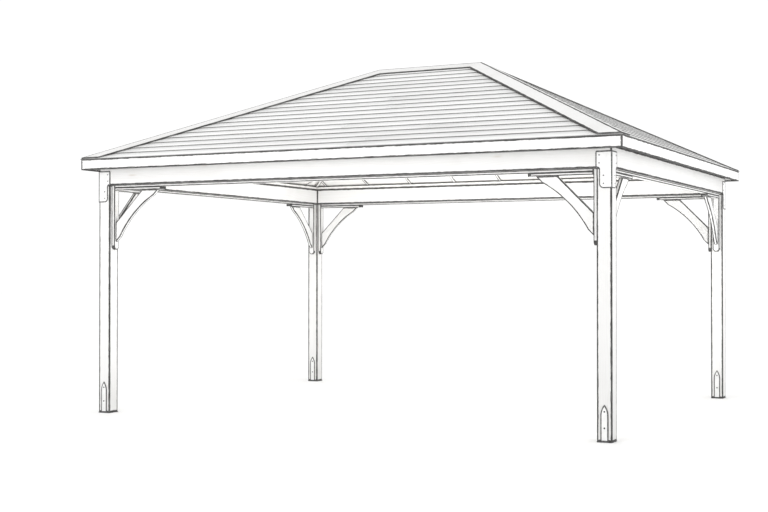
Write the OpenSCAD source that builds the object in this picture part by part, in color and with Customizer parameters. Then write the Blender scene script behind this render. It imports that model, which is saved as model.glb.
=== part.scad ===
// Open garden pavilion: four timber posts on steel feet, a mitred ring of beams
// with curved knee braces, and a framed hip roof with flat hip and ridge caps.
// Millimetres, +Z up, origin on the ground at the middle of the plan, front at -Y.

/* [Frame] */
// Length over the outer faces of the posts
frame_l = 5640; // [4200:10:7200]
// Width over the outer faces of the posts
frame_w = 4640; // [3600:10:5200]
// Side of a square post, and width of the beams above it
post_side = 140; // [110:1:190]
// Height of the posts' top, under the beams
clear_h = 2425; // [2150:5:2900]

/* [Beams] */
// Height of a beam
beam_h = 195; // [140:1:260]
// Thickness of the plates that lie on the beams and carry the rafters
plate_t = 45; // [30:1:70]
// Thickness of the liner that runs along the underside of a beam
liner_t = 28; // [16:1:45]
// Width of the liners and of the strips that hold the knee braces
strip_w = 76; // [50:1:100]
// Thickness of the strips under the liners
beam_strip_t = 28; // [16:1:45]
// Thickness of the strips on the posts
post_strip_t = 38; // [18:1:50]
// Length of a strip past the end of its knee brace
strip_past = 83; // [50:1:160]

/* [Knee braces] */
// Reach of a knee brace along its strips
brace_leg = 547; // [440:1:700]
// Distance from the corner of the strips to the brace's straight edge, along a strip
brace_edge = 343; // [260:1:380]
// Thickness of a knee brace
brace_t = 38; // [25:1:48]
// Size of the slanted nose at each end of a knee brace
brace_nose = 58; // [40:1:80]
// Rise of the hollow curve of a knee brace
brace_arch = 42; // [20:1:60]

/* [Corner brackets] */
// Thickness of the folded plate
bracket_t = 5; // [3:0.5:8]
// Width of a wing on the beams
bracket_beam_w = 148; // [130:1:180]
// Width of a wing on the post
bracket_post_w = 115; // [90:1:125]
// Height of a wing on the beams
bracket_beam_h = 150; // [100:1:160]
// Height of a wing on the post
bracket_post_h = 182; // [120:1:260]
// Radius of the lower corner of a wing
bracket_foot_r = 40; // [10:1:60]
// Radius of the upper corner of a wing
bracket_head_r = 12; // [4:1:30]

/* [Post feet] */
// Thickness of the plate under a post
foot_plate_t = 10; // [6:1:20]
// Thickness of the straps that hold a post
strap_t = 6; // [3:0.5:10]
// Width of a strap
strap_w = 73; // [40:1:100]
// Height of a strap's straight sides
strap_side_h = 237; // [120:1:300]
// Rise of a strap's pointed top
strap_point_h = 97; // [60:1:140]

/* [Roof] */
// Overhang of the eaves past the outer faces of the beams
eave_out = 135; // [90:1:180]
// Length of the ridge between the tops of the hips
ridge_l = 1270; // [900:10:1600]
// Rise of the roof from the eaves to the ridge
roof_rise = 1115; // [850:5:1400]
// Thickness of the boards and their covering, measured upright
roof_t = 33; // [24:1:45]
// Height of a fascia board
fascia_h = 115; // [90:1:150]
// Thickness of a fascia board
fascia_t = 25; // [18:1:40]
// Width of a rafter, and thickness of the ridge board
rafter_w = 38; // [30:1:60]
// Depth of a rafter, square to the long slopes
rafter_d = 115; // [90:1:150]
// Width of a hip rafter
hip_w = 45; // [38:1:70]
// Depth of a hip rafter, measured upright
hip_d = 150; // [130:1:200]
// Depth of the ridge board, measured upright
ridge_d = 175; // [140:1:240]
// Thickness of the ceiling panels between the rafters, measured upright
ceiling_t = 12; // [8:1:20]
// Height of the ceiling panels above the undersides of the rafters, measured upright
ceiling_up = 14; // [8:1:40]

/* [Roof caps] */
// Thickness of the hip and ridge caps, measured upright
cap_t = 18; // [10:1:30]
// Width of a hip cap's wing, measured level
hip_cap_w = 164; // [110:1:220]
// Width of a ridge cap's wing, measured level
ridge_cap_w = 150; // [100:1:200]

/* [Hidden] */
$fn = 96;
// Overrun of cutting shapes past the faces that they cut
cut = 20;
// Steps in each rounded corner of a bracket's outline
arc_steps = 8;
// Gap of the mitre where two boards of the hip caps meet at the peak of an end slope
mitre_gap = 0.8;

// Middle of a post's side, where strips, liners and knee braces are centred
mid = post_side / 2;
// Face of a strip on a post, from the post's outer face
strip_face = post_side + post_strip_t;
// Underside of a strip below a beam, where a knee brace lands
brace_top = clear_h - liner_t - beam_strip_t;
// Lower end of a strip on a post
strip_foot = brace_top - brace_leg - strip_past;

// Tops of the beams and of the plates on them
beam_top = clear_h + beam_h;
plate_top = beam_top + plate_t;

// Eaves outline: half length and half width
eave_x = frame_l / 2 + eave_out;
eave_y = frame_w / 2 + eave_out;
ridge_x = ridge_l / 2;
// Slopes of the long sides and of the ends, as rise over run
long_slope = roof_rise / eave_y;
end_slope = roof_rise / (eave_x - ridge_x);
rafter_plumb = rafter_d / cos(atan(long_slope));
// The rafters' undersides meet the inner top edges of the plates, which sets the eaves' height
eave_z = plate_top + rafter_plumb + roof_t - (eave_out + post_side) * long_slope;
ridge_z = eave_z + roof_rise;
fascia_foot = eave_z - fascia_h;

// Tops of the ceiling panels, below the roof's surface
ceiling_drop = roof_t + rafter_plumb - ceiling_up - ceiling_t;

// Rafters: one in the middle of the ridge and one at each end, and the rows go on to the corners
bay = ridge_l / 2;
// Angle of the hips in plan, from the X axis
hip_angle = atan2(eave_y, eave_x - ridge_x);
// Level distances from a hip's middle line to its side, along X and along Y
hip_side_x = hip_w / 2 / sin(hip_angle);
hip_side_y = hip_w / 2 / cos(hip_angle);
// The same distances for the edges of a hip cap
cap_side_x = hip_cap_w / sin(hip_angle);
cap_side_y = hip_cap_w / cos(hip_angle);
// Places where a hip cap's edge meets the ridge cap's edge, and the other hip cap of its end
cap_meet_x = ridge_x + ridge_cap_w / tan(hip_angle) - cap_side_x;
cap_peak_x = ridge_x + cap_side_x;

// Radius of a strap's pointed top and of a knee brace's hollow edge
strap_r = (pow(strap_w / 2, 2) + pow(strap_point_h, 2)) / strap_w;
brace_half = (brace_leg - 2 * brace_nose) / sqrt(2);
brace_r = (pow(brace_half, 2) + pow(brace_arch, 2)) / (2 * brace_arch);
// Radius of both bends in the step of a bracket's wing
bracket_step_r = (bracket_beam_w - bracket_post_w) / 2;

timber = "whitesmoke";
roofing = "gainsboro";
steel = "silver";

function arc_points(centre, r, from, to) =
    [for (i = [0 : arc_steps]) let (a = from + (to - from) * i / arc_steps) centre + r * [cos(a), sin(a)]];

// Puts a shape at a corner of the frame, drawn with the post's outer corner at the origin
// and the X and Y axes pointing inwards along the beams
module at_corner(sx, sy) {
    translate([sx * frame_l / 2, sy * frame_w / 2, 0])
        mirror([sx > 0 ? 1 : 0, 0, 0])
            mirror([0, sy > 0 ? 1 : 0, 0])
                children();
}

// Draws a shape along X as it is, or turned over the diagonal to run along Y
module along(axis) {
    mirror(axis == "y" ? [1, -1, 0] : [0, 0, 0]) children();
}

module post(sx, sy) {
    color(timber)
        at_corner(sx, sy)
            translate([0, 0, foot_plate_t])
                cube([post_side, post_side, clear_h - foot_plate_t]);
}

// Outline of a strap: straight sides and a pointed top of two arcs
module strap_outline() {
    offset_x = strap_r - strap_w / 2;
    translate([-strap_w / 2, 0]) square([strap_w, strap_side_h]);
    intersection() {
        translate([-offset_x, strap_side_h]) circle(r = strap_r);
        translate([offset_x, strap_side_h]) circle(r = strap_r);
        translate([-strap_w / 2, strap_side_h]) square([strap_w, strap_point_h]);
    }
}

// Plate under a post with a strap up its front and its back face
module post_foot(sx, sy) {
    color(steel)
        at_corner(sx, sy) {
            translate([0, -strap_t, 0]) cube([post_side, post_side + 2 * strap_t, foot_plate_t]);
            for (y = [0, post_side + strap_t])
                translate([mid, y, 0])
                    rotate([90, 0, 0])
                        linear_extrude(strap_t) strap_outline();
        }
}

// Outline of one wing of a corner bracket, stepping out from the post to the beam
module bracket_outline() {
    foot = clear_h - bracket_post_h;
    head = clear_h + bracket_beam_h;
    polygon(concat(
        [[-bracket_t, foot]],
        arc_points([bracket_post_w - bracket_foot_r, foot + bracket_foot_r], bracket_foot_r, -90, 0),
        arc_points([bracket_post_w + bracket_step_r, clear_h - bracket_step_r], bracket_step_r, 180, 90),
        arc_points([bracket_beam_w - bracket_step_r, clear_h + bracket_step_r], bracket_step_r, -90, 0),
        arc_points([bracket_beam_w - bracket_head_r, head - bracket_head_r], bracket_head_r, 0, 90),
        [[-bracket_t, head]]
    ));
}

// Plate folded round the outer corner of a post and the beams on it
module corner_bracket(sx, sy) {
    color(steel)
        at_corner(sx, sy)
            for (axis = ["x", "y"])
                along(axis)
                    rotate([90, 0, 0])
                        linear_extrude(bracket_t) bracket_outline();
}

// Four-sided outline of one side of a mitred ring, at the +Y side
module mitred_side(half_l, half_w, depth) {
    polygon([
        [-half_l, half_w], [half_l, half_w],
        [half_l - depth, half_w - depth], [-half_l + depth, half_w - depth]
    ]);
}

module beam_long(sy) {
    color(timber)
        translate([0, 0, clear_h])
            linear_extrude(beam_h)
                mirror([0, sy < 0 ? 1 : 0])
                    mitred_side(frame_l / 2, frame_w / 2, post_side);
}

module beam_short(sx) {
    color(timber)
        translate([0, 0, clear_h])
            linear_extrude(beam_h)
                rotate(-90 * sx)
                    mitred_side(frame_w / 2, frame_l / 2, post_side);
}

// Plates over the long beams, which tie the mitres together
module top_plates_long() {
    color(timber)
        for (sy = [-1, 1])
            translate([-frame_l / 2, sy * (frame_w / 2 - mid) - mid, beam_top])
                cube([frame_l, post_side, plate_t]);
}

// Plates over the short beams, between the long ones
module top_plates_short() {
    color(timber)
        for (sx = [-1, 1])
            translate([sx * (frame_l / 2 - mid) - mid, -frame_w / 2 + post_side, beam_top])
                cube([post_side, frame_w - 2 * post_side, plate_t]);
}

// Liners under the beams, from strip to strip
module beam_liners() {
    long = frame_l - 2 * strip_face;
    short = frame_w - 2 * strip_face;
    color(timber)
        translate([0, 0, clear_h - liner_t]) {
            for (sy = [-1, 1])
                translate([-long / 2, sy * (frame_w / 2 - mid) - strip_w / 2, 0])
                    cube([long, strip_w, liner_t]);
            for (sx = [-1, 1])
                translate([sx * (frame_l / 2 - mid) - strip_w / 2, -short / 2, 0])
                    cube([strip_w, short, liner_t]);
        }
}

// Outline of a strip that starts at the origin, runs along +X and ends in a half round
module strip_outline(length) {
    translate([0, -strip_w / 2]) square([length - strip_w / 2, strip_w]);
    translate([length - strip_w / 2, 0]) circle(d = strip_w);
}

// Strips under the liners, above the knee braces
module beam_strips() {
    color(timber)
        for (sx = [-1, 1], sy = [-1, 1], axis = ["x", "y"])
            at_corner(sx, sy)
                along(axis)
                    translate([strip_face, mid, brace_top])
                        linear_extrude(beam_strip_t) strip_outline(brace_leg + strip_past);
}

// Strips down the inner faces of the posts, behind the knee braces
module post_strips() {
    color(timber)
        for (sx = [-1, 1], sy = [-1, 1], axis = ["x", "y"])
            at_corner(sx, sy)
                along(axis)
                    translate([post_side, mid, clear_h])
                        rotate([0, 90, 0])
                            linear_extrude(post_strip_t) strip_outline(clear_h - strip_foot);
}

// Outline of a knee brace with the corner of its strips at the origin:
// straight on the corner's side, hollow on the other, with a slanted nose at each end
module brace_outline() {
    far = brace_leg - brace_nose;
    centre = brace_leg / 2 + (brace_r - brace_arch) / sqrt(2);
    difference() {
        polygon([
            [brace_edge, 0], [brace_leg, 0], [far, -brace_nose],
            [brace_nose, -far], [0, -brace_leg], [0, -brace_edge]
        ]);
        translate([centre, -centre]) circle(r = brace_r);
    }
}

module knee_brace(sx, sy, axis) {
    at_corner(sx, sy)
        along(axis)
            translate([strip_face, mid + brace_t / 2, brace_top])
                rotate([90, 0, 0])
                    linear_extrude(brace_t) brace_outline();
}

// Pair of knee braces under one long beam
module knee_braces_long(sy) {
    color(timber)
        for (sx = [-1, 1]) knee_brace(sx, sy, "x");
}

// Pair of knee braces under one short beam
module knee_braces_short(sx) {
    color(timber)
        for (sy = [-1, 1]) knee_brace(sx, sy, "y");
}

// Everything under the two long slopes, let down by a drop
module under_long_slopes(drop) {
    rotate([90, 0, 90])
        linear_extrude(2 * eave_x + 2 * cut, center = true)
            polygon([
                [-eave_y, 0], [eave_y, 0], [eave_y, eave_z - drop],
                [0, ridge_z - drop], [-eave_y, eave_z - drop]
            ]);
}

// Everything under the two end slopes, let down by a drop
module under_end_slopes(drop) {
    rotate([90, 0, 0])
        linear_extrude(2 * eave_y + 2 * cut, center = true)
            polygon([
                [-eave_x, 0], [eave_x, 0], [eave_x, eave_z - drop],
                [ridge_x, ridge_z - drop], [-ridge_x, ridge_z - drop], [-eave_x, eave_z - drop]
            ]);
}

// Everything under the whole hip roof, let down by a drop
module under_roof(drop) {
    intersection() {
        under_long_slopes(drop);
        under_end_slopes(drop);
    }
}

// Layer that follows the long slopes between two drops
module long_layer(drop, depth) {
    difference() {
        under_long_slopes(drop);
        under_long_slopes(drop + depth);
    }
}

// Layer that follows the end slopes between two drops
module end_layer(drop, depth) {
    difference() {
        under_end_slopes(drop);
        under_end_slopes(drop + depth);
    }
}

// Plan of the roof behind the fascia boards
module roof_plan() {
    square([2 * (eave_x - fascia_t), 2 * (eave_y - fascia_t)], center = true);
}

// Plan of a long slope, between its hips, at the +Y side; a gap keeps clear of the hips
module long_slope_plan(gap) {
    polygon([[-eave_x + gap, eave_y], [eave_x - gap, eave_y], [ridge_x - gap, 0], [-ridge_x + gap, 0]]);
}

// Plan of an end slope, between its hips, at the +X side; a gap keeps clear of the hips
module end_slope_plan(gap) {
    polygon([
        [eave_x, -eave_y + gap], [eave_x, eave_y - gap],
        [ridge_x + gap / tan(hip_angle), 0]
    ]);
}

// One long slope of boards and covering
module roof_long(sy) {
    color(roofing)
        intersection() {
            long_layer(0, roof_t);
            linear_extrude(ridge_z + cut)
                mirror([0, sy < 0 ? 1 : 0])
                    intersection() {
                        long_slope_plan(0);
                        roof_plan();
                    }
        }
}

// One end slope of boards and covering
module roof_end(sx) {
    color(roofing)
        intersection() {
            end_layer(0, roof_t);
            linear_extrude(ridge_z + cut)
                mirror([sx < 0 ? 1 : 0, 0])
                    intersection() {
                        end_slope_plan(0);
                        roof_plan();
                    }
        }
}

// Plan of the rafters of the long slope at the +Y side: full ones along the ridge, jacks to the hips
module long_rafter_plan() {
    count = floor((eave_x - hip_side_x - rafter_w) / bay);
    intersection() {
        union() {
            for (i = [-count : count])
                translate([i * bay - rafter_w / 2, rafter_w / 2])
                    square([rafter_w, eave_y - fascia_t - rafter_w / 2]);
        }
        union() {
            long_slope_plan(hip_side_x);
            translate([-ridge_x, 0]) square([ridge_l, eave_y]);
        }
    }
}

// Plan of the rafters of the end slope at the +X side: one on the ridge's line, jacks to the hips
module end_rafter_plan() {
    count = floor((eave_y - hip_side_y - rafter_w) / bay);
    intersection() {
        union() {
            for (i = [-count : count])
                translate([ridge_x, i * bay - rafter_w / 2])
                    square([eave_x - fascia_t - ridge_x, rafter_w]);
        }
        union() {
            end_slope_plan(hip_side_y);
            translate([ridge_x, -rafter_w / 2]) square([eave_x - ridge_x, rafter_w]);
        }
    }
}

// Raises a plan from the tops of the plates through the roof
module above_plates() {
    translate([0, 0, plate_top])
        linear_extrude(roof_rise + roof_t) children();
}

// Rafters of the long slopes, cut level where they sit on the plates
module rafters_long() {
    color(timber)
        for (sy = [-1, 1])
            intersection() {
                long_layer(roof_t, rafter_plumb);
                above_plates() mirror([0, sy < 0 ? 1 : 0]) long_rafter_plan();
            }
}

// Rafters of the end slopes, cut level where they sit on the plates
module rafters_end() {
    color(timber)
        for (sx = [-1, 1])
            intersection() {
                end_layer(roof_t, rafter_plumb);
                above_plates() mirror([sx < 0 ? 1 : 0, 0]) end_rafter_plan();
            }
}

// Plan of the ceiling of the long slope at the +Y side, between the rafters, the hips and the ridge board
module long_ceiling_plan() {
    difference() {
        intersection() {
            long_slope_plan(hip_side_x);
            translate([-eave_x, rafter_w / 2]) square([2 * eave_x, eave_y]);
        }
        long_rafter_plan();
    }
}

// Plan of the ceiling of the end slope at the +X side, between the rafters and the hips
module end_ceiling_plan() {
    difference() {
        end_slope_plan(hip_side_y);
        end_rafter_plan();
    }
}

// Ceiling panels of the long slopes, just above the rafters' undersides, cut level on the plates
module ceiling_long() {
    color(timber)
        for (sy = [-1, 1])
            intersection() {
                long_layer(ceiling_drop, ceiling_t);
                above_plates() mirror([0, sy < 0 ? 1 : 0]) long_ceiling_plan();
            }
}

// Ceiling panels of the end slopes, just above the rafters' undersides, cut level on the plates
module ceiling_end() {
    color(timber)
        for (sx = [-1, 1])
            intersection() {
                end_layer(ceiling_drop, ceiling_t);
                above_plates() mirror([sx < 0 ? 1 : 0, 0]) end_ceiling_plan();
            }
}

// Plan of the hip rafter of the +X, +Y corner, cut to fit between the rafters at the ridge's end
module hip_rafter_plan() {
    length = norm([eave_x - ridge_x, eave_y]);
    intersection() {
        translate([ridge_x, 0])
            rotate(hip_angle)
                translate([-cut, -hip_w / 2])
                    square([length + cut, hip_w]);
        translate([ridge_x, rafter_w / 2])
            square([eave_x - fascia_t - ridge_x, eave_y - fascia_t - rafter_w / 2]);
    }
}

// Upright side of a hip rafter of the +X, +Y corner, from the eaves' corner to the ridge's end
module hip_rafter_side() {
    length = norm([eave_x - ridge_x, eave_y]);
    translate([ridge_x, 0, 0])
        rotate([90, 0, hip_angle])
            linear_extrude(2 * hip_w, center = true)
                polygon([
                    [0, ridge_z], [length, eave_z],
                    [length, eave_z - roof_t - hip_d], [0, ridge_z - roof_t - hip_d]
                ]);
}

// Hip rafters of the four corners, bevelled on top to both slopes
module hip_rafters() {
    color(timber)
        for (sx = [-1, 1], sy = [-1, 1])
            mirror([sx < 0 ? 1 : 0, 0, 0])
                mirror([0, sy < 0 ? 1 : 0, 0])
                    intersection() {
                        under_roof(roof_t);
                        hip_rafter_side();
                        above_plates() hip_rafter_plan();
                    }
}

module ridge_board() {
    color(timber)
        intersection() {
            under_long_slopes(roof_t);
            translate([-ridge_x, -rafter_w / 2, ridge_z - roof_t - ridge_d])
                cube([ridge_l, rafter_w, ridge_d]);
        }
}

// One fascia board of a long side, bevelled on top to the slope
module fascia_long(sy) {
    color(timber)
        intersection() {
            under_roof(0);
            translate([0, 0, fascia_foot])
                linear_extrude(fascia_h + fascia_t)
                    mirror([0, sy < 0 ? 1 : 0])
                        mitred_side(eave_x, eave_y, fascia_t);
        }
}

// One fascia board of an end, bevelled on top to the slope
module fascia_end(sx) {
    color(timber)
        intersection() {
            under_roof(0);
            translate([0, 0, fascia_foot])
                linear_extrude(fascia_h + fascia_t)
                    rotate(-90 * sx)
                        mitred_side(eave_y, eave_x, fascia_t);
        }
}

// Plan of a hip cap's board on a long slope, at the +X, +Y corner, mitred to the ridge cap
module hip_cap_long_plan() {
    polygon([[ridge_x, 0], [cap_meet_x, ridge_cap_w], [eave_x - cap_side_x, eave_y], [eave_x, eave_y]]);
}

// Plan of a hip cap's board on an end slope, at the +X, +Y corner, mitred to its neighbour at the peak
module hip_cap_end_plan() {
    side = mitre_gap / 2;
    shift = side / tan(hip_angle);
    polygon([
        [ridge_x + shift, side], [eave_x, eave_y],
        [eave_x, eave_y - cap_side_y], [cap_peak_x + shift, side]
    ]);
}

// Boards of the two hip caps that lie on one long slope
module hip_caps_long(sy) {
    color(timber)
        for (sx = [-1, 1])
            mirror([sx < 0 ? 1 : 0, 0, 0])
                mirror([0, sy < 0 ? 1 : 0, 0])
                    intersection() {
                        long_layer(-cap_t, cap_t);
                        linear_extrude(ridge_z + cap_t + cut) hip_cap_long_plan();
                    }
}

// Boards of the two hip caps that lie on one end slope
module hip_caps_end(sx) {
    color(timber)
        for (sy = [-1, 1])
            mirror([sx < 0 ? 1 : 0, 0, 0])
                mirror([0, sy < 0 ? 1 : 0, 0])
                    intersection() {
                        end_layer(-cap_t, cap_t);
                        linear_extrude(ridge_z + cap_t + cut) hip_cap_end_plan();
                    }
}

// Board of the ridge cap that lies on one long slope
module ridge_cap(sy) {
    color(timber)
        mirror([0, sy < 0 ? 1 : 0, 0])
            intersection() {
                long_layer(-cap_t, cap_t);
                linear_extrude(ridge_z + cap_t + cut)
                    polygon([
                        [-ridge_x, 0], [-cap_meet_x, ridge_cap_w],
                        [cap_meet_x, ridge_cap_w], [ridge_x, 0]
                    ]);
            }
}

post(-1, -1);  // post_front_left
post(1, -1);  // post_front_right
post(-1, 1);  // post_back_left
post(1, 1);  // post_back_right
post_foot(-1, -1);  // post_foot_front_left
post_foot(1, -1);  // post_foot_front_right
post_foot(-1, 1);  // post_foot_back_left
post_foot(1, 1);  // post_foot_back_right
corner_bracket(-1, -1);  // corner_bracket_front_left
corner_bracket(1, -1);  // corner_bracket_front_right
corner_bracket(-1, 1);  // corner_bracket_back_left
corner_bracket(1, 1);  // corner_bracket_back_right
beam_long(-1);  // beam_front
beam_long(1);  // beam_back
beam_short(-1);  // beam_left
beam_short(1);  // beam_right
top_plates_long();
top_plates_short();
beam_liners();
beam_strips();
post_strips();
knee_braces_long(-1);  // knee_braces_front
knee_braces_long(1);  // knee_braces_back
knee_braces_short(-1);  // knee_braces_left
knee_braces_short(1);  // knee_braces_right
rafters_long();
rafters_end();
hip_rafters();
ridge_board();
ceiling_long();
ceiling_end();
roof_long(-1);  // roof_front
roof_long(1);  // roof_back
roof_end(-1);  // roof_left
roof_end(1);  // roof_right
fascia_long(-1);  // fascia_front
fascia_long(1);  // fascia_back
fascia_end(-1);  // fascia_left
fascia_end(1);  // fascia_right
hip_caps_long(-1);  // hip_caps_front
hip_caps_long(1);  // hip_caps_back
hip_caps_end(-1);  // hip_caps_left
hip_caps_end(1);  // hip_caps_right
ridge_cap(-1);  // ridge_cap_front
ridge_cap(1);  // ridge_cap_back
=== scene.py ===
"""Looks of an open garden pavilion: pale stained timber, lapped roof boards and coated steel fittings."""

import math
import random

import bmesh
import bpy
from mathutils import Matrix, Vector


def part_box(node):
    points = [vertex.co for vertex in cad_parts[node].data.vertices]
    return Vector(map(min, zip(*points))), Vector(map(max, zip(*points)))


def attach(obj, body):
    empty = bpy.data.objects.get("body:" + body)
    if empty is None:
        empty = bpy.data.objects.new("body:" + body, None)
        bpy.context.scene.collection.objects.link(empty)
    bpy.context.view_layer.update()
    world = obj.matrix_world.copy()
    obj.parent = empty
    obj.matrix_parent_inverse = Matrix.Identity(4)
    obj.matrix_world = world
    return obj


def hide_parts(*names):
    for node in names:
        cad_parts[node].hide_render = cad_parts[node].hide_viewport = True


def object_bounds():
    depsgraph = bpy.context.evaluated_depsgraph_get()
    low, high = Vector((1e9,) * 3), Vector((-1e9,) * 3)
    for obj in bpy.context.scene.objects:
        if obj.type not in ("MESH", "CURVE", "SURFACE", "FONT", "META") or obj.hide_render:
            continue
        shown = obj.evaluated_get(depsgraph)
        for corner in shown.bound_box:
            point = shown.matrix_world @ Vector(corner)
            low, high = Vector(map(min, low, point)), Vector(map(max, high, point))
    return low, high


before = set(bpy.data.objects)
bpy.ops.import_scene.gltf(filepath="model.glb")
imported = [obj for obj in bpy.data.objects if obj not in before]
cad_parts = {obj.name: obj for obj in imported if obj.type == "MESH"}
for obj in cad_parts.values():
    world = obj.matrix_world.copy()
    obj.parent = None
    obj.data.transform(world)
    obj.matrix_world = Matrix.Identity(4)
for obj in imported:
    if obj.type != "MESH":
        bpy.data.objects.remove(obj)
cad_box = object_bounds()

CORNERS = [f"{a}_{b}" for a in ("front", "back") for b in ("left", "right")]
SIDES = ["front", "back", "left", "right"]

# Camera: place in metres, turn and tilt in degrees, focal length in pixels of the picture's width
CAMERA_PLACE = (6.2101, -13.6332, 1.5173)
CAMERA_TURN = 26.454
CAMERA_TILT = 0.622
FOCAL_PIXELS = 1323.5
PICTURE_WIDTH = 768
SENSOR_MM = 36.0

# Studio: each lamp's place, target and width in metres, its watts and its colour
SKY_STRENGTH = 1.06
LAMPS = {
    "key": ((-6.0, -24.0, 3.4), (0.0, 0.0, 2.0), 12.0, 1300.0, (1.0, 0.99, 0.98)),
    "fill": ((22.0, -8.0, 3.4), (0.0, 0.0, 2.0), 10.0, 900.0, (0.98, 0.99, 1.0)),
    "bounce": ((0.0, 0.0, 0.02), (0.0, 0.0, 2.5), 3.6, 122.0, (1.0, 1.0, 1.0)),
    "front_reflector": ((0.0, -7.5, 0.02), (0.0, -7.5, 2.5), 5.0, 260.0, (1.0, 1.0, 1.0)),
    "right_reflector": ((8.0, 0.0, 0.02), (8.0, 0.0, 2.5), 5.0, 400.0, (1.0, 1.0, 1.0)),
}
FLOOR_REACH = 60.0

# Colours
SKY = (1.0, 1.0, 1.0, 1.0)
FLOOR_TONES = ((0.95, 0.95, 0.95, 1.0), (0.965, 0.965, 0.96, 1.0))
FRAME_STAIN = (0.73, 0.729, 0.725, 1.0)
TRIM_STAIN = (0.80, 0.799, 0.795, 1.0)
ROOF_STAIN = (0.82, 0.81, 0.79, 1.0)
STREAK = (0.60, 0.59, 0.57, 1.0)
WORN_WOOD = (0.020, 0.0195, 0.019, 1.0)
BOARD_STAIN = (0.95, 0.95, 0.945, 1.0)
BOARD_STREAK = (0.85, 0.845, 0.835, 1.0)
BOARD_BUTT = (0.20, 0.20, 0.20, 1.0)
KNOT_BROWN = (0.42, 0.33, 0.24, 1.0)
# Grime and painted shade: the grey that the timber takes in narrow hollows, laid on by an ambient-occlusion
# mask
TIMBER_GRIME_AND_SHADE = (0.30, 0.29, 0.27, 1.0)
WHITE_COAT = (0.75, 0.75, 0.745, 1.0)
CHIPPED_STEEL = (0.025, 0.025, 0.026, 1.0)
# Grime and painted shade: the grey that coated steel takes in narrow hollows, laid on by an ambient-occlusion
# mask
STEEL_GRIME_AND_SHADE = (0.22, 0.21, 0.20, 1.0)
DARK_STEEL_TONES = ((0.07, 0.07, 0.072, 1.0), (0.02, 0.02, 0.02, 1.0))
GREY_STEEL_TONES = ((0.30, 0.30, 0.305, 1.0), (0.14, 0.14, 0.14, 1.0))

# Timber material: stretches of the grain along, across and through a board; ramps as from, to and low, high
SWAY_STRETCH = (0.7, 5.0, 5.0)
RING_SPACING = 0.011
RING_DEPTH = 0.45
RING_SWAY = 0.09
RING_RAMP = (0.1, 1.0)
RING_SHARE = 0.55
FIBRE_STRETCH = (3.0, 150.0, 150.0)
FIBRE_SHARE = 0.6
FIBRE_GLOSS = (0.3, 0.7, 0.42, 0.58)
KNOT_STRETCH = (1.1, 4.5, 4.5)
KNOT_RAMP = (0.09, 0.03)
KNOT_SHARE = 0.28
KNOT_SINK = 0.6
MOTTLE_SCALE = 2.2
MOTTLE_RAMP = (0.42, 0.72)
MOTTLE_SHARE = 0.22
TONE_RAMP = (0.0, 1.0, 0.94, 1.03)
RAGGED_STRETCH = (14.0, 55.0, 55.0)
RAGGED_RAMP = (0.3, 0.7, -0.30, 0.0)
WEAR_RAMP = (0.02, 0.24)
WEAR_PATCH_SCALE = 9.0
WEAR_PATCH_RAMP = (0.25, 0.6, 0.88, 1.0)
WEAR_ROUGHNESS = 0.25
# Reach and share of the grime and painted shade in the timber's hollows
TIMBER_HOLLOW = 0.05
TIMBER_GRIME_AND_SHADE_SHARE = 0.22
STAIN_SPECULAR = 0.15
GRAIN_BUMP = (0.35, 0.0012)

# Steel and floor materials
COAT_CLOUD_SCALE = 14.0
COAT_CLOUD_RAMP = (0.4, 0.75, 0.0, 0.10)
COAT_GLOSS = (0.3, 0.7, 0.32, 0.48)
COAT_PEEL_SCALE = 900.0
COAT_BUMP = (0.12, 0.0004)
CHIP_SCALE = 60.0
CHIP_RAMP = (0.05, 0.40)
CHIP_PATCH_RAMP = (0.25, 0.60, 0.8, 1.0)
# Reach and share of the grime and painted shade in the coated steel's hollows
STEEL_HOLLOW = 0.03
STEEL_GRIME_AND_SHADE_SHARE = 0.5
SPANGLE_SCALE = 160.0
SPANGLE_SHARE = 0.35
STAIN_SCALE = 35.0
STAIN_RAMP = (0.40, 0.70)
STAIN_SHARE = 0.6
BARE_GLOSS = (0.0, 0.9, 0.38, 0.62)
BARE_METALLIC = 0.3
BARE_BUMP = (0.15, 0.0004)
FLOOR_CLOUD_SCALE = 0.6
FLOOR_GLOSS = (0.3, 0.7, 0.75, 0.9)
# Ambient-occlusion samples and ramp for the painted shade and grime in hollows
HOLLOW_SAMPLES = 6
HOLLOW_RAMP = (0.75, 0.25)

# Finish of the CAD solids, in metres: rounded arrises, and the bands beside them that wear
WELD = 1e-5
FLAT_ANGLE = math.radians(1.0)
SHARP_ANGLE = math.radians(25.0)
POST_ARRIS = 0.004
BOARD_ARRIS = 0.0025
PANEL_ARRIS = 0.001
STEEL_ARRIS = 0.0012
ARRIS_SEGMENTS = 2
ARRIS_PROFILE = 0.5
POST_RUB = 0.015
TRIM_RUB = 0.018
BOARD_RUB = 0.012
STRIP_RUB = 0.009
PANEL_RUB = 0.002
STEEL_RUB = 0.013
RUB_STEPS = 4
SHARPEST_CORNER = math.radians(30.0)
NARROW_SHARE = 0.3
GRAIN_SPREAD = 40.0
UPRIGHT = 0.9
MITRE_NEAR = 0.0005
MITRE_REACH = 0.2
MITRE_RUN = 0.1

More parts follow.
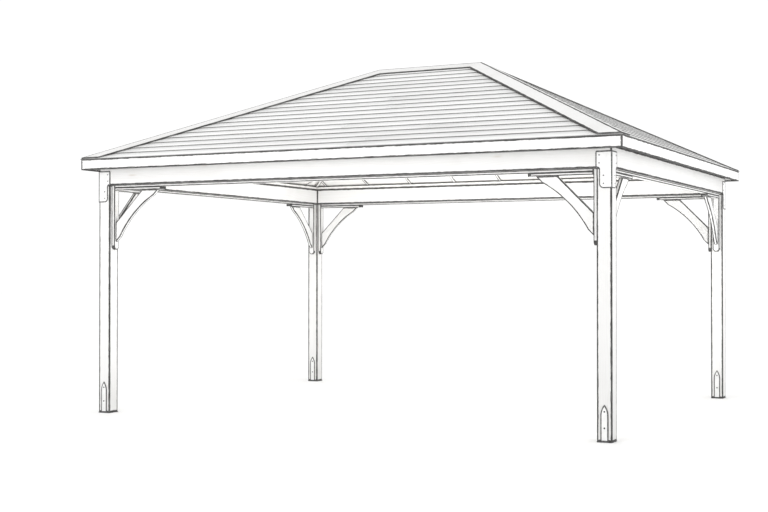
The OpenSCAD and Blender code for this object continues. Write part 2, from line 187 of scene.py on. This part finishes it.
# Roof boards, in metres, and how worn their arrises are
EXPOSURE = 0.146
LAP = 0.030
BUTT = 0.007
TAIL = 0.003
EAVE_DRIP = 0.006
BUTT_ROUND = 0.0015
BUTT_STAIN = 0.003
HIP_SETBACK = 0.030
BOARD_LONGEST = 3.6
BOARD_SHORTEST = 1.5
BOARD_GAP = 0.0015
STATION = 0.5
BOARD_WAVE = 0.0004
ROOF_THICK = 0.030
DECK_FOOT = 0.030
DECK_TOP = BUTT - BUTT * (EXPOSURE + LAP) / EXPOSURE - TAIL
DECK_WIDTH = 0.118
DECK_GAP = 0.002
DECK_CHAMFER = 0.004
DECK_CLEAR = 0.001
BUTT_WEAR = 1.0
ARRIS_WEAR = 0.8
CHAMFER_WEAR = 0.6

# Screws, in metres: those of a bracket's wing, given inward from the corner and below the top,
# and those of a strap, given by height
BRACKET_SCREWS = ((0.119, 0.037), (0.119, 0.108), (0.080, 0.219), (0.080, 0.290))
FOOT_SCREW_HEIGHTS = (0.127, 0.272)
FOOT_PLATE_TOP = 0.010
# A screw head's rings, from its seat over the dome and down into the hex socket: radius, height and corners
SCREW_STEPS = 24
SCREW_RINGS = (
    (0.0078, 0.0, SCREW_STEPS), (0.0078, 0.0010, SCREW_STEPS), (0.0066, 0.0026, SCREW_STEPS),
    (0.0046, 0.0036, SCREW_STEPS), (0.0033, 0.0038, 6), (0.0031, 0.0016, 6), (0.0014, 0.0010, 6),
)


class Nodes:
    """Adds shader nodes to one tree; a socket or a plain value can feed any input."""

    MIX_COLOURS = (6, 7)
    MIX_RESULT = 2

    def __init__(self, tree):
        self.tree = tree

    def add(self, kind, feeds=(), **settings):
        node = self.tree.nodes.new(kind)
        for key, value in settings.items():
            setattr(node, key, value)
        for key, value in dict(feeds).items():
            self.feed(node.inputs[key], value)
        return node

    def feed(self, socket, value):
        if isinstance(value, bpy.types.NodeSocket):
            self.tree.links.new(value, socket)
        else:
            socket.default_value = value

    def calculate(self, operation, a, b=0.0):
        return self.add("ShaderNodeMath", {0: a, 1: b}, operation=operation).outputs[0]

    def plus(self, a, b):
        return self.calculate("ADD", a, b)

    def times(self, a, b):
        return self.calculate("MULTIPLY", a, b)

    def stretch(self, vector, scale):
        return self.add("ShaderNodeVectorMath", {0: vector, 1: scale}, operation="MULTIPLY").outputs[0]

    def noise(self, vector, scale=1.0, detail=3.0, roughness=0.55):
        feeds = {"Vector": vector, "Scale": scale, "Detail": detail, "Roughness": roughness}
        return self.add("ShaderNodeTexNoise", feeds).outputs["Fac"]

    def cells(self, vector, scale=1.0):
        return self.add("ShaderNodeTexVoronoi", {"Vector": vector, "Scale": scale}).outputs

    def ramp(self, value, start, end, low=0.0, high=1.0):
        feeds = {"Value": value, "From Min": start, "From Max": end, "To Min": low, "To Max": high}
        return self.add("ShaderNodeMapRange", feeds, interpolation_type="SMOOTHSTEP").outputs["Result"]

    def mix(self, share, a, b, blend="MIX"):
        node = self.add("ShaderNodeMix", data_type="RGBA", blend_type=blend)
        self.feed(node.inputs["Factor"], share)
        for socket, colour in zip(self.MIX_COLOURS, (a, b)):
            self.feed(node.inputs[socket], colour)
        return node.outputs[self.MIX_RESULT]

    def value(self, name):
        """A number that a mesh holds at its points."""
        return self.add("ShaderNodeAttribute", attribute_name=name).outputs["Fac"]

    def vector(self, name):
        """A vector that a mesh holds at its points."""
        return self.add("ShaderNodeAttribute", attribute_name=name).outputs["Vector"]

    def grimed_and_shaded(self, colour, grime_and_shade, distance, most):
        """A colour darkened in its hollows by an ambient-occlusion mask: grime and painted shade."""
        light = self.add("ShaderNodeAmbientOcclusion", {"Distance": distance}, samples=HOLLOW_SAMPLES)
        return self.mix(self.ramp(light.outputs["AO"], *HOLLOW_RAMP, 0.0, most), colour, grime_and_shade)

    def bump(self, height, strength, depth):
        feeds = {"Height": height, "Strength": strength, "Distance": depth}
        return self.add("ShaderNodeBump", feeds).outputs["Normal"]


def new_material(name):
    """An empty node material, its nodes and the inputs of its surface shader."""
    material = bpy.data.materials.new(name)
    material.use_nodes = True
    material.node_tree.nodes.clear()
    nodes = Nodes(material.node_tree)
    surface = nodes.add("ShaderNodeBsdfPrincipled")
    nodes.add("ShaderNodeOutputMaterial", {"Surface": surface.outputs["BSDF"]})
    return material, nodes, surface.inputs


def timber(name, pale, streak, worn, streak_share, wear_share):
    """Opaque pale stain on softwood: rings and knots show through, and arrises are worn to dark wood."""
    material, nodes, surface = new_material(name)
    grain = nodes.vector("grain")

    sway = nodes.noise(nodes.stretch(grain, SWAY_STRETCH), detail=2.0)
    place = nodes.add("ShaderNodeSeparateXYZ", {0: grain}).outputs
    radius = nodes.plus(place["Y"], nodes.times(place["Z"], RING_DEPTH))
    radius = nodes.plus(radius, nodes.times(sway, RING_SWAY))
    rings = nodes.ramp(nodes.calculate("SINE", nodes.times(radius, 2 * math.pi / RING_SPACING)), *RING_RAMP)
    fibres = nodes.noise(nodes.stretch(grain, FIBRE_STRETCH), detail=5.0, roughness=0.6)
    figure = nodes.plus(nodes.times(rings, RING_SHARE), nodes.times(fibres, FIBRE_SHARE))
    knot = nodes.ramp(nodes.cells(nodes.stretch(grain, KNOT_STRETCH))["Distance"], *KNOT_RAMP)
    mottle = nodes.ramp(nodes.noise(grain, MOTTLE_SCALE), *MOTTLE_RAMP)

    colour = nodes.mix(nodes.times(figure, streak_share), pale, streak)
    colour = nodes.mix(nodes.times(mottle, MOTTLE_SHARE), colour, streak)
    colour = nodes.mix(nodes.times(knot, KNOT_SHARE), colour, KNOT_BROWN)
    tone = nodes.ramp(nodes.value("tone"), *TONE_RAMP)
    grey = nodes.add("ShaderNodeCombineColor", {0: tone, 1: tone, 2: tone}).outputs[0]
    colour = nodes.mix(1.0, colour, grey, "MULTIPLY")

    ragged = nodes.noise(nodes.stretch(grain, RAGGED_STRETCH), detail=4.0, roughness=0.6)
    rubbed = nodes.plus(nodes.value("edge"), nodes.ramp(ragged, *RAGGED_RAMP))
    patches = nodes.ramp(nodes.noise(grain, WEAR_PATCH_SCALE, detail=4.0), *WEAR_PATCH_RAMP)
    wear = nodes.times(nodes.ramp(rubbed, *WEAR_RAMP), nodes.times(patches, wear_share))
    colour = nodes.mix(wear, colour, worn)
    # Grime and painted shade: darker in narrow hollows, from an ambient-occlusion mask
    colour = nodes.grimed_and_shaded(colour, TIMBER_GRIME_AND_SHADE, TIMBER_HOLLOW, TIMBER_GRIME_AND_SHADE_SHARE)

    nodes.feed(surface["Base Color"], colour)
    roughness = nodes.plus(nodes.ramp(fibres, *FIBRE_GLOSS), nodes.times(wear, WEAR_ROUGHNESS))
    nodes.feed(surface["Roughness"], roughness)
    nodes.feed(surface["Specular IOR Level"], STAIN_SPECULAR)
    height = nodes.calculate("SUBTRACT", figure, nodes.times(knot, KNOT_SINK))
    nodes.feed(surface["Normal"], nodes.bump(height, *GRAIN_BUMP))
    return material


def coated_steel(name, coat, bare):
    """Powder-coated plate: fine orange peel, edges chipped to bare metal, a little grime and painted shade in
    the hollows.
    """
    material, nodes, surface = new_material(name)
    grain = nodes.vector("grain")
    cloud = nodes.noise(grain, COAT_CLOUD_SCALE, detail=4.0)
    colour = nodes.mix(nodes.ramp(cloud, *COAT_CLOUD_RAMP), coat, bare)
    patches = nodes.ramp(nodes.noise(grain, CHIP_SCALE), *CHIP_PATCH_RAMP)
    colour = nodes.mix(nodes.times(nodes.ramp(nodes.value("edge"), *CHIP_RAMP), patches), colour, bare)
    # Grime and painted shade: darker in narrow hollows, from an ambient-occlusion mask
    colour = nodes.grimed_and_shaded(colour, STEEL_GRIME_AND_SHADE, STEEL_HOLLOW, STEEL_GRIME_AND_SHADE_SHARE)
    nodes.feed(surface["Base Color"], colour)
    nodes.feed(surface["Roughness"], nodes.ramp(cloud, *COAT_GLOSS))
    nodes.feed(surface["Normal"], nodes.bump(nodes.noise(grain, COAT_PEEL_SCALE, detail=2.0), *COAT_BUMP))
    return material


def bare_steel(name, light, dark):
    """Galvanised steel: dull, with small crystals and darker stains."""
    material, nodes, surface = new_material(name)
    grain = nodes.vector("grain")
    spangle = nodes.add("ShaderNodeSeparateColor", {0: nodes.cells(grain, SPANGLE_SCALE)["Color"]}).outputs[0]
    stain = nodes.ramp(nodes.noise(grain, STAIN_SCALE, detail=4.0), *STAIN_RAMP)
    share = nodes.plus(nodes.times(spangle, SPANGLE_SHARE), nodes.times(stain, STAIN_SHARE))
    nodes.feed(surface["Base Color"], nodes.mix(share, light, dark))
    nodes.feed(surface["Roughness"], nodes.ramp(share, *BARE_GLOSS))
    nodes.feed(surface["Metallic"], BARE_METALLIC)
    nodes.feed(surface["Normal"], nodes.bump(share, *BARE_BUMP))
    return material


def floor_material():
    """A plain pale floor with faint clouds."""
    material, nodes, surface = new_material("pale_floor")
    cloud = nodes.noise(nodes.add("ShaderNodeTexCoord").outputs["Object"], FLOOR_CLOUD_SCALE, detail=4.0)
    nodes.feed(surface["Base Color"], nodes.mix(cloud, *FLOOR_TONES))
    nodes.feed(surface["Roughness"], nodes.ramp(cloud, *FLOOR_GLOSS))
    return material


def build_floor(material):
    form = bmesh.new()
    bmesh.ops.create_grid(form, x_segments=1, y_segments=1, size=FLOOR_REACH)
    mesh = bpy.data.meshes.new("floor")
    form.to_mesh(mesh)
    form.free()
    mesh.materials.append(material)
    floor = bpy.data.objects.new("floor", mesh)
    bpy.context.scene.collection.objects.link(floor)


def area_light(name, place, target, width, watts, colour):
    lamp = bpy.data.lights.new(name, "AREA")
    lamp.shape = "DISK"
    lamp.size = width
    lamp.energy = watts
    lamp.color = colour
    light = bpy.data.objects.new(name, lamp)
    light.location = place
    light.rotation_euler = (Vector(target) - Vector(place)).to_track_quat("-Z", "Y").to_euler()
    light.visible_camera = False
    bpy.context.scene.collection.objects.link(light)


def studio():
    """White surroundings, a soft key and fill, and floor reflectors that light what the eaves shade."""
    world = bpy.data.worlds.new("studio")
    bpy.context.scene.world = world
    world.use_nodes = True
    background = world.node_tree.nodes["Background"].inputs
    background["Color"].default_value = SKY
    background["Strength"].default_value = SKY_STRENGTH
    for name, settings in LAMPS.items():
        area_light(name, *settings)
    bpy.context.scene.view_settings.view_transform = "Standard"


def camera():
    """The drawing's camera; a turn of 90 degrees about X looks level."""
    data = bpy.data.cameras.new("camera")
    data.sensor_width = SENSOR_MM
    data.lens = FOCAL_PIXELS * SENSOR_MM / PICTURE_WIDTH
    view = bpy.data.objects.new("camera", data)
    view.location = CAMERA_PLACE
    view.rotation_euler = (math.radians(90.0 + CAMERA_TILT), 0.0, math.radians(CAMERA_TURN))
    bpy.context.scene.collection.objects.link(view)
    bpy.context.scene.camera = view


def corner_signs(corner):
    """Which way a corner lies from the middle, along X and along Y."""
    return (1 if corner.endswith("right") else -1), (1 if corner.startswith("back") else -1)


def edges_among(parts):
    return [part for part in parts if isinstance(part, bmesh.types.BMEdge)]


def islands(form):
    """The separate solids of a mesh, each as its list of points."""
    seen = set()
    for first in form.verts:
        if first in seen:
            continue
        group, reach = [], [first]
        seen.add(first)
        while reach:
            point = reach.pop()
            group.append(point)
            for edge in point.link_edges:
                other = edge.other_vert(point)
                if other not in seen:
                    seen.add(other)
                    reach.append(other)
        yield group


def grain_start(draw):
    """A place of its own in the grain's space, so that no two pieces show the same figure."""
    return Vector([draw.uniform(0, GRAIN_SPREAD) for _ in range(3)])


def lay_grain(form, draw):
    """Gives each solid its own grain along its longest edge, and its own tone."""
    grain = form.verts.layers.float_vector.new("grain")
    tone = form.verts.layers.float.new("tone")
    for group in islands(form):
        edges = {edge for point in group for edge in point.link_edges}
        longest = max(edges, key=lambda edge: (round(edge.calc_length(), 5), -edge.index))
        along = (longest.verts[1].co - longest.verts[0].co).normalized()
        side = along.cross(Vector((0, 0, 1)) if abs(along.z) < UPRIGHT else Vector((1, 0, 0))).normalized()
        face = along.cross(side)
        start = grain_start(draw)
        own_tone = draw.random()
        for point in group:
            place = point.co
            point[grain] = Vector((place.dot(along), place.dot(side), place.dot(face))) + start
            point[tone] = own_tone


def piece_from(form, name, materials, nodes):
    """Turns the mesh in hand into a piece that stands for the given nodes and takes the given materials."""
    for face in form.faces:
        face.smooth = True
    mesh = bpy.data.meshes.new(name)
    form.to_mesh(mesh)
    form.free()
    for material in materials:
        mesh.materials.append(material)
    piece = bpy.data.objects.new(name, mesh)
    bpy.context.scene.collection.objects.link(piece)
    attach(piece, "root")
    if nodes:
        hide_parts(*nodes)
    return piece


def solid_of(node, cut_height=None):
    """A node's own solids with their flat faces made whole, scored round at a height where one is given."""
    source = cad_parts[node].data
    form = bmesh.new()
    points = [form.verts.new(vertex.co) for vertex in source.vertices]
    for face in source.polygons:
        form.faces.new([points[i] for i in face.vertices])
    bmesh.ops.remove_doubles(form, verts=form.verts, dist=WELD)
    bmesh.ops.dissolve_limit(form, angle_limit=FLAT_ANGLE, verts=form.verts, edges=form.edges)
    if cut_height:
        parts = [*form.verts, *form.edges, *form.faces]
        scored = bmesh.ops.bisect_plane(form, geom=parts, dist=WELD, plane_co=(0, 0, cut_height),
                                        plane_no=(0, 0, 1))
        for edge in edges_among(scored["geom_cut"]):
            edge.seam = True
    form.edges.index_update()
    return form


def smooth_patches(faces):
    """The given faces in groups that join edge to edge, such as the facets of one curved side."""
    left = set(faces)
    while left:
        reach = [min(left, key=lambda face: face.index)]
        left.discard(reach[0])
        patch = []
        while reach:
            face = reach.pop()
            patch.append(face)
            for edge in face.edges:
                for other in edge.link_faces:
                    if other in left and not edge.seam and edge.calc_face_angle(0.0) < SHARP_ANGLE:
                        left.discard(other)
                        reach.append(other)
        yield patch


def is_broad(patch, rub):
    """Whether a patch is wide enough to keep a clean middle inside its worn band."""
    area = sum(face.calc_area() for face in patch)
    inside = set(patch)
    rim = {edge for face in patch for edge in face.edges if not inside.issuperset(edge.link_faces)}
    return area > rub * sum(edge.calc_length() for edge in rim)


def corners_hold(faces):
    """Whether every corner of the given faces is blunt enough for another ring inside it."""
    angles = {}
    for face in faces:
        for loop in face.loops:
            angles[loop.vert] = angles.get(loop.vert, 0.0) + loop.calc_angle()
    return min(angles.values(), default=0.0) > SHARPEST_CORNER


def ring(form, patch, rub, worn, mark):
    """Rings a patch in small steps, from worn at its rim to clean inside, joining points that meet."""
    stride = rub / RUB_STEPS
    inside = patch
    for step in range(1, RUB_STEPS + 1):
        if not corners_hold(inside):
            break
        for face in inside:
            face[mark] = 1
        rim = bmesh.ops.inset_region(form, faces=inside, thickness=stride, use_even_offset=True,
                                     use_boundary=True)
        for face in rim["faces"]:
            face[mark] = 0
        points = list(dict.fromkeys(point for face in inside for point in face.verts))
        for point in points:
            point[worn] = 1.0 - step / RUB_STEPS
        meet = bmesh.ops.find_doubles(form, verts=points, dist=stride)["targetmap"]
        if meet:
            bmesh.ops.weld_verts(form, targetmap=meet)
            inside = [face for face in form.faces if face[mark]]
    for face in inside:
        face[mark] = 0
        for point in face.verts:
            point[worn] = 0.0


def ease_edges(form, arris, rub):
    """Rounds the arrises and rings each face or curved side with a narrow band that can wear."""
    worn = form.verts.layers.float.new("edge")
    mark = form.faces.layers.int.new("inside")
    sharp = [edge for edge in form.edges if edge.is_manifold and edge.calc_face_angle() > SHARP_ANGLE]
    rounded = bmesh.ops.bevel(form, geom=sharp, offset=arris, offset_type="OFFSET", segments=ARRIS_SEGMENTS,
                              profile=ARRIS_PROFILE, affect="EDGES", clamp_overlap=True)["faces"]
    bmesh.ops.dissolve_degenerate(form, dist=WELD, edges=form.edges)
    rounded = [face for face in rounded if face.is_valid]
    form.faces.index_update()
    sides = [face for face in set(form.faces).difference(rounded)
             if face.calc_area() > face.calc_perimeter() * rub * NARROW_SHARE]
    broad = [patch for patch in smooth_patches(sides) if is_broad(patch, rub)]
    for point in form.verts:
        point[worn] = 1.0
    for patch in broad:
        ring(form, patch, rub, worn, mark)
    form.faces.layers.int.remove(mark)


def dress(node, kind, materials, arris, rub, cut_height=None):
    """A node's solids as finished timber or steel."""
    form = solid_of(node, cut_height)
    lay_grain(form, random.Random(node))
    ease_edges(form, arris, rub)
    return piece_from(form, f"{node}_{kind}", materials, [node])


def cap_mitres(side, slope):
    """Where a long slope's ridge cap meets its hip caps: each peak, the way out and the way up the hip."""
    places = [vertex.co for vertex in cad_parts[f"ridge_cap_{side}"].data.vertices]
    far = max(abs(place.y) for place in places)
    meet = max(place.x for place in places if abs(place.y) > far - WELD)
    for sign in (-1, 1):
        peak = slope.point(sign * slope.half_head, slope.length, 0.0)
        corner = slope.point(sign * slope.half_eave, 0.0, 0.0)
        way = math.copysign(1.0, peak.x)
        across = Vector((way * (meet - abs(peak.x)), slope.outward.y * far, 0.0))
        outward = Vector((across.y, -across.x, 0.0)).normalized()
        if outward.x * way < 0:
            outward = -outward
        yield peak, outward, (peak - corner).normalized()


def dress_cap(node, mitres, material):
    """A cap's boards, finished too long, then cut at their mitres, so that no worn edge crosses the cap."""
    form = solid_of(node)
    for peak, outward, way in mitres:
        for point in form.verts:
            if abs((point.co - peak).dot(outward)) < MITRE_NEAR and abs(point.co.x - peak.x) < MITRE_REACH:
                point.co += way * MITRE_RUN
    lay_grain(form, random.Random(node))
    ease_edges(form, BOARD_ARRIS, TRIM_RUB)
    for peak, outward, _ in mitres:
        group = min(islands(form), key=lambda points: min((point.co - peak).length for point in points))
        edges = dict.fromkeys(edge for point in group for edge in point.link_edges)
        faces = dict.fromkeys(face for point in group for face in point.link_faces)
        sawn = bmesh.ops.bisect_plane(form, geom=[*group, *edges, *faces], dist=WELD, plane_co=peak,
                                      plane_no=outward, clear_outer=True)
        rim = edges_among(sawn["geom_cut"])
        for edge in rim:
            edge.smooth = False
        ends = bmesh.ops.edgeloop_fill(form, edges=rim)["faces"]
        bmesh.ops.triangulate(form, faces=ends, ngon_method="BEAUTY")
    return piece_from(form, f"{node}_timber", [material], [node])


def add_screw(form, place, outward, grain, draw):
    """Adds one domed screw head with a round-bottomed hex socket, its flange against the plate."""
    side = outward.orthogonal().normalized()
    turn = draw.uniform(0, math.pi)
    start = grain_start(draw)
    loops = []
    for radius, height, corners in SCREW_RINGS:
        loop = []
        for step in range(SCREW_STEPS):
            angle = turn + 2 * math.pi * step / SCREW_STEPS
            flat = math.pi / corners
            reach = radius * math.cos(flat) / math.cos((angle - turn) % (2 * flat) - flat)
            arm = Matrix.Rotation(angle, 3, outward) @ side
            point = form.verts.new(place + arm * reach + outward * height)
            point[grain] = start + arm * reach + outward * height
            loop.append(point)
        loops.append(loop)
    for a, b in zip(loops, loops[1:]):
        for i in range(SCREW_STEPS):
            j = (i + 1) % SCREW_STEPS
            form.faces.new((a[i], a[j], b[j], b[i]))
    form.faces.new(loops[0][::-1])
    bottom = form.faces.new(loops[-1])
    middle = bmesh.ops.poke(form, faces=[bottom])["verts"][0]
    middle[grain] = start + outward * SCREW_RINGS[-1][1]


def bracket_screws(material):
    """Four screws in each wing of the corner brackets."""
    draw = random.Random("bracket screws")
    form = bmesh.new()
    grain = form.verts.layers.float_vector.new("grain")
    for corner in CORNERS:
        low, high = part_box(f"corner_bracket_{corner}")
        sx, sy = corner_signs(corner)
        edge = Vector((high.x if sx > 0 else low.x, high.y if sy > 0 else low.y, high.z))
        for inward, drop in BRACKET_SCREWS:
            add_screw(form, edge + Vector((-sx * inward, 0, -drop)), Vector((0, sy, 0)), grain, draw)
            add_screw(form, edge + Vector((0, -sy * inward, -drop)), Vector((sx, 0, 0)), grain, draw)
    return piece_from(form, "bracket_screws", [material], [])


def foot_screws(material):
    """Two screws in each strap of the post feet."""
    draw = random.Random("foot screws")
    form = bmesh.new()
    grain = form.verts.layers.float_vector.new("grain")
    for corner in CORNERS:
        low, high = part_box(f"post_foot_{corner}")
        middle = (low.x + high.x) / 2
        for height in FOOT_SCREW_HEIGHTS:
            add_screw(form, Vector((middle, low.y, height)), Vector((0, -1, 0)), grain, draw)
            add_screw(form, Vector((middle, high.y, height)), Vector((0, 1, 0)), grain, draw)
    return piece_from(form, "foot_screws", [material], [])


class Slope:
    """One roof slope: points are given along the eave, up the slope and above its plane."""

    def __init__(self, eave_middle, outward, half_eave, half_head, run, rise):
        self.foot = eave_middle
        self.outward = outward
        self.half_eave = half_eave
        self.half_head = half_head
        self.run = run
        self.length = math.hypot(run, rise)
        self.along = Vector((0, 0, 1)).cross(outward)
        self.uphill = (Vector((0, 0, rise)) - outward * run) / self.length
        self.normal = self.along.cross(self.uphill)

    def point(self, along, up, above):
        return self.foot + self.along * along + self.uphill * up + self.normal * above

    def half(self, up, above):
        """Half the slope's width between its hips, at a place up the slope."""
        inward = -(self.uphill * up + self.normal * above).dot(self.outward)
        return self.half_eave + (self.half_head - self.half_eave) * inward / self.run


def roof_slopes():
    """The four slopes, from the eaves to the ridge."""
    high = cad_box[1]
    ridge_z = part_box("roof_front")[1].z
    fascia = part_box("fascia_front")[1]
    rise = (ridge_z - fascia.z) * high.y / -fascia.y
    eave = Vector((0, 0, ridge_z - rise))
    ridge_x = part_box("roof_right")[0].x
    slopes = {}
    for side, outward in (("front", Vector((0, -1, 0))), ("back", Vector((0, 1, 0)))):
        slopes[side] = Slope(outward * high.y + eave, outward, high.x, ridge_x, high.y, rise)
    for side, outward in (("left", Vector((-1, 0, 0))), ("right", Vector((1, 0, 0)))):
        slopes[side] = Slope(outward * high.x + eave, outward, high.y, 0.0, high.x - ridge_x, rise)
    return slopes


def new_layers(form):
    """What the timber material reads from a mesh: the grain's place, the board's tone and the wear."""
    return (form.verts.layers.float_vector.new("grain"), form.verts.layers.float.new("tone"),
            form.verts.layers.float.new("edge"))


def add_board(form, slope, profile, left, right, layers, draw, wave):
    """Adds one board: its profile, given as up, above and wear, is run from its left end to its right end."""
    grain, tone, edge = layers
    start = grain_start(draw)
    own_tone = draw.random()
    middle = (max(left(up, above) for up, above, _ in profile)
              + min(right(up, above) for up, above, _ in profile)) / 2
    span = right(*profile[0][:2]) - left(*profile[0][:2])
    count = max(1, round(span / STATION)) if wave else 1
    rows = []
    for step in range(count + 1):
        share = step / count
        inner = 0 < step < count
        lift = draw.uniform(-wave, wave) if inner else 0.0
        slip = draw.uniform(-wave, wave) if inner else 0.0
        row = []
        for up, above, wear in profile:
            place = left(up, above) * (1 - share) + right(up, above) * share
            point = form.verts.new(slope.point(place, up + slip, above + lift * wear))
            point[grain] = Vector((place - middle, up, above)) + start
            point[tone] = own_tone
            point[edge] = wear
            row.append(point)
        rows.append(row)
    form.faces.new(rows[0])
    form.faces.new(rows[-1][::-1])
    size = len(profile)
    for a, b in zip(rows, rows[1:]):
        for i in range(size):
            j = (i + 1) % size
            form.faces.new((a[i], b[i], b[j], a[j]))


def joints_along(half, draw):
    """Where the boards of one course meet, as places along the eave."""
    places, place = [], -half + draw.uniform(BOARD_SHORTEST, BOARD_LONGEST)
    while place < half - BOARD_SHORTEST:
        places.append(place)
        place += draw.uniform(BOARD_SHORTEST, BOARD_LONGEST)
    return places


def course_profile(up, tail):
    """A lapped board's section: a thick rounded butt at its foot, and a thin tail under the next course."""
    fall = BUTT / EXPOSURE
    end = (tail - up) * fall
    return [
        (up, 0.0, BUTT_WEAR),
        (up, BUTT - BUTT_ROUND, BUTT_WEAR),
        (up + BUTT_ROUND, BUTT, ARRIS_WEAR),
        (up + BUTT_STAIN, BUTT - BUTT_STAIN * fall, 0.0),
        (tail, BUTT - end, 0.0),
        (tail, BUTT - end - TAIL, 0.0),
    ]


def roof_courses(side, slope, material):
    """The lapped boards of one slope; the first course runs on under the hip caps to the corners."""
    draw = random.Random(side + " courses")
    form = bmesh.new()
    layers = new_layers(form)
    up, next_up, setback = -EAVE_DRIP, EXPOSURE, 0.0
    while up < slope.length - LAP:
        tail = min(next_up + LAP, slope.length - DECK_CLEAR)
        profile = course_profile(up, tail)
        ends = [None, *joints_along(slope.half(up, 0.0), draw), None]
        for a, b in zip(ends, ends[1:]):
            def left(u, h, place=a):
                return setback - slope.half(u, h) if place is None else place + BOARD_GAP / 2

            def right(u, h, place=b):
                return slope.half(u, h) - setback if place is None else place - BOARD_GAP / 2

            if right(tail, 0.0) - left(tail, 0.0) > 0:
                add_board(form, slope, profile, left, right, layers, draw, BOARD_WAVE)
        up, next_up, setback = next_up, next_up + EXPOSURE, HIP_SETBACK
    bmesh.ops.recalc_face_normals(form, faces=form.faces)
    return piece_from(form, f"roof_{side}_courses", [material], [f"roof_{side}"])


def deck_profile(up, top):
    """A deck board's section, with its lower arrises chamfered."""
    low = -ROOF_THICK
    return [
        (up, DECK_TOP, 0.0), (top, DECK_TOP, 0.0), (top, low + DECK_CHAMFER, CHAMFER_WEAR),
        (top - DECK_CHAMFER, low, ARRIS_WEAR), (top - 2 * DECK_CHAMFER, low, 0.0),
        (up + 2 * DECK_CHAMFER, low, 0.0), (up + DECK_CHAMFER, low, ARRIS_WEAR),
        (up, low + DECK_CHAMFER, CHAMFER_WEAR),
    ]


def roof_deck(side, slope, material):
    """The close boards under the courses, seen from below at the eaves."""
    draw = random.Random(side + " deck")
    form = bmesh.new()
    layers = new_layers(form)
    up = DECK_FOOT
    while up < slope.length - DECK_WIDTH / 2:
        top = min(up + DECK_WIDTH - DECK_GAP, slope.length - DECK_CLEAR)
        add_board(form, slope, deck_profile(up, top), lambda u, h: DECK_CLEAR - slope.half(u, h),
                  lambda u, h: slope.half(u, h) - DECK_CLEAR, layers, draw, 0.0)
        up += DECK_WIDTH
    bmesh.ops.recalc_face_normals(form, faces=form.faces)
    return piece_from(form, f"roof_{side}_deck", [material], [f"roof_{side}"])


camera()
studio()
build_floor(floor_material())

frame_timber = timber("frame_timber", FRAME_STAIN, STREAK, WORN_WOOD, streak_share=0.30, wear_share=0.95)
trim_timber = timber("trim_timber", TRIM_STAIN, STREAK, WORN_WOOD, streak_share=0.24, wear_share=0.95)
roof_timber = timber("roof_frame_timber", ROOF_STAIN, STREAK, WORN_WOOD, streak_share=0.30, wear_share=0.9)
board_timber = timber("roof_boards", BOARD_STAIN, BOARD_STREAK, BOARD_BUTT, streak_share=0.22, wear_share=1.0)
dark_steel = bare_steel("dark_steel", *DARK_STEEL_TONES)
grey_steel = bare_steel("grey_steel", *GREY_STEEL_TONES)
white_steel = coated_steel("white_steel", WHITE_COAT, CHIPPED_STEEL)

for corner in CORNERS:
    dress(f"post_{corner}", "timber", [frame_timber], POST_ARRIS, POST_RUB)
    foot = dress(f"post_foot_{corner}", "steel", [white_steel, dark_steel], STEEL_ARRIS,
                 STEEL_RUB, FOOT_PLATE_TOP)
    for face in foot.data.polygons:
        face.material_index = 1 if face.center.z < FOOT_PLATE_TOP else 0
    dress(f"corner_bracket_{corner}", "steel", [white_steel], STEEL_ARRIS, STEEL_RUB)
for side in SIDES:
    dress(f"beam_{side}", "timber", [frame_timber], POST_ARRIS, POST_RUB)
    dress(f"fascia_{side}", "timber", [trim_timber], BOARD_ARRIS, TRIM_RUB)
    dress(f"knee_braces_{side}", "timber", [frame_timber], BOARD_ARRIS, BOARD_RUB)
for node in ("beam_liners", "beam_strips", "post_strips"):
    dress(node, "timber", [frame_timber], BOARD_ARRIS, STRIP_RUB)
for node in ("top_plates_long", "top_plates_short", "rafters_long", "rafters_end", "hip_rafters",
             "ridge_board"):
    dress(node, "timber", [roof_timber], BOARD_ARRIS, BOARD_RUB)
for node in ("ceiling_long", "ceiling_end"):
    dress(node, "timber", [roof_timber], PANEL_ARRIS, PANEL_RUB)

slopes = roof_slopes()
for side in ("front", "back"):
    mitres = list(cap_mitres(side, slopes[side]))
    ridge_ends = [(peak, out, Vector((math.copysign(1.0, out.x), 0, 0))) for peak, out, _ in mitres]
    dress_cap(f"ridge_cap_{side}", ridge_ends, trim_timber)
    dress_cap(f"hip_caps_{side}", [(peak, -out, uphill) for peak, out, uphill in mitres], trim_timber)
for side in ("left", "right"):
    dress(f"hip_caps_{side}", "timber", [trim_timber], BOARD_ARRIS, TRIM_RUB)

bracket_screws(grey_steel)
foot_screws(dark_steel)
for side, slope in slopes.items():
    roof_courses(side, slope, board_timber)
    roof_deck(side, slope, roof_timber)
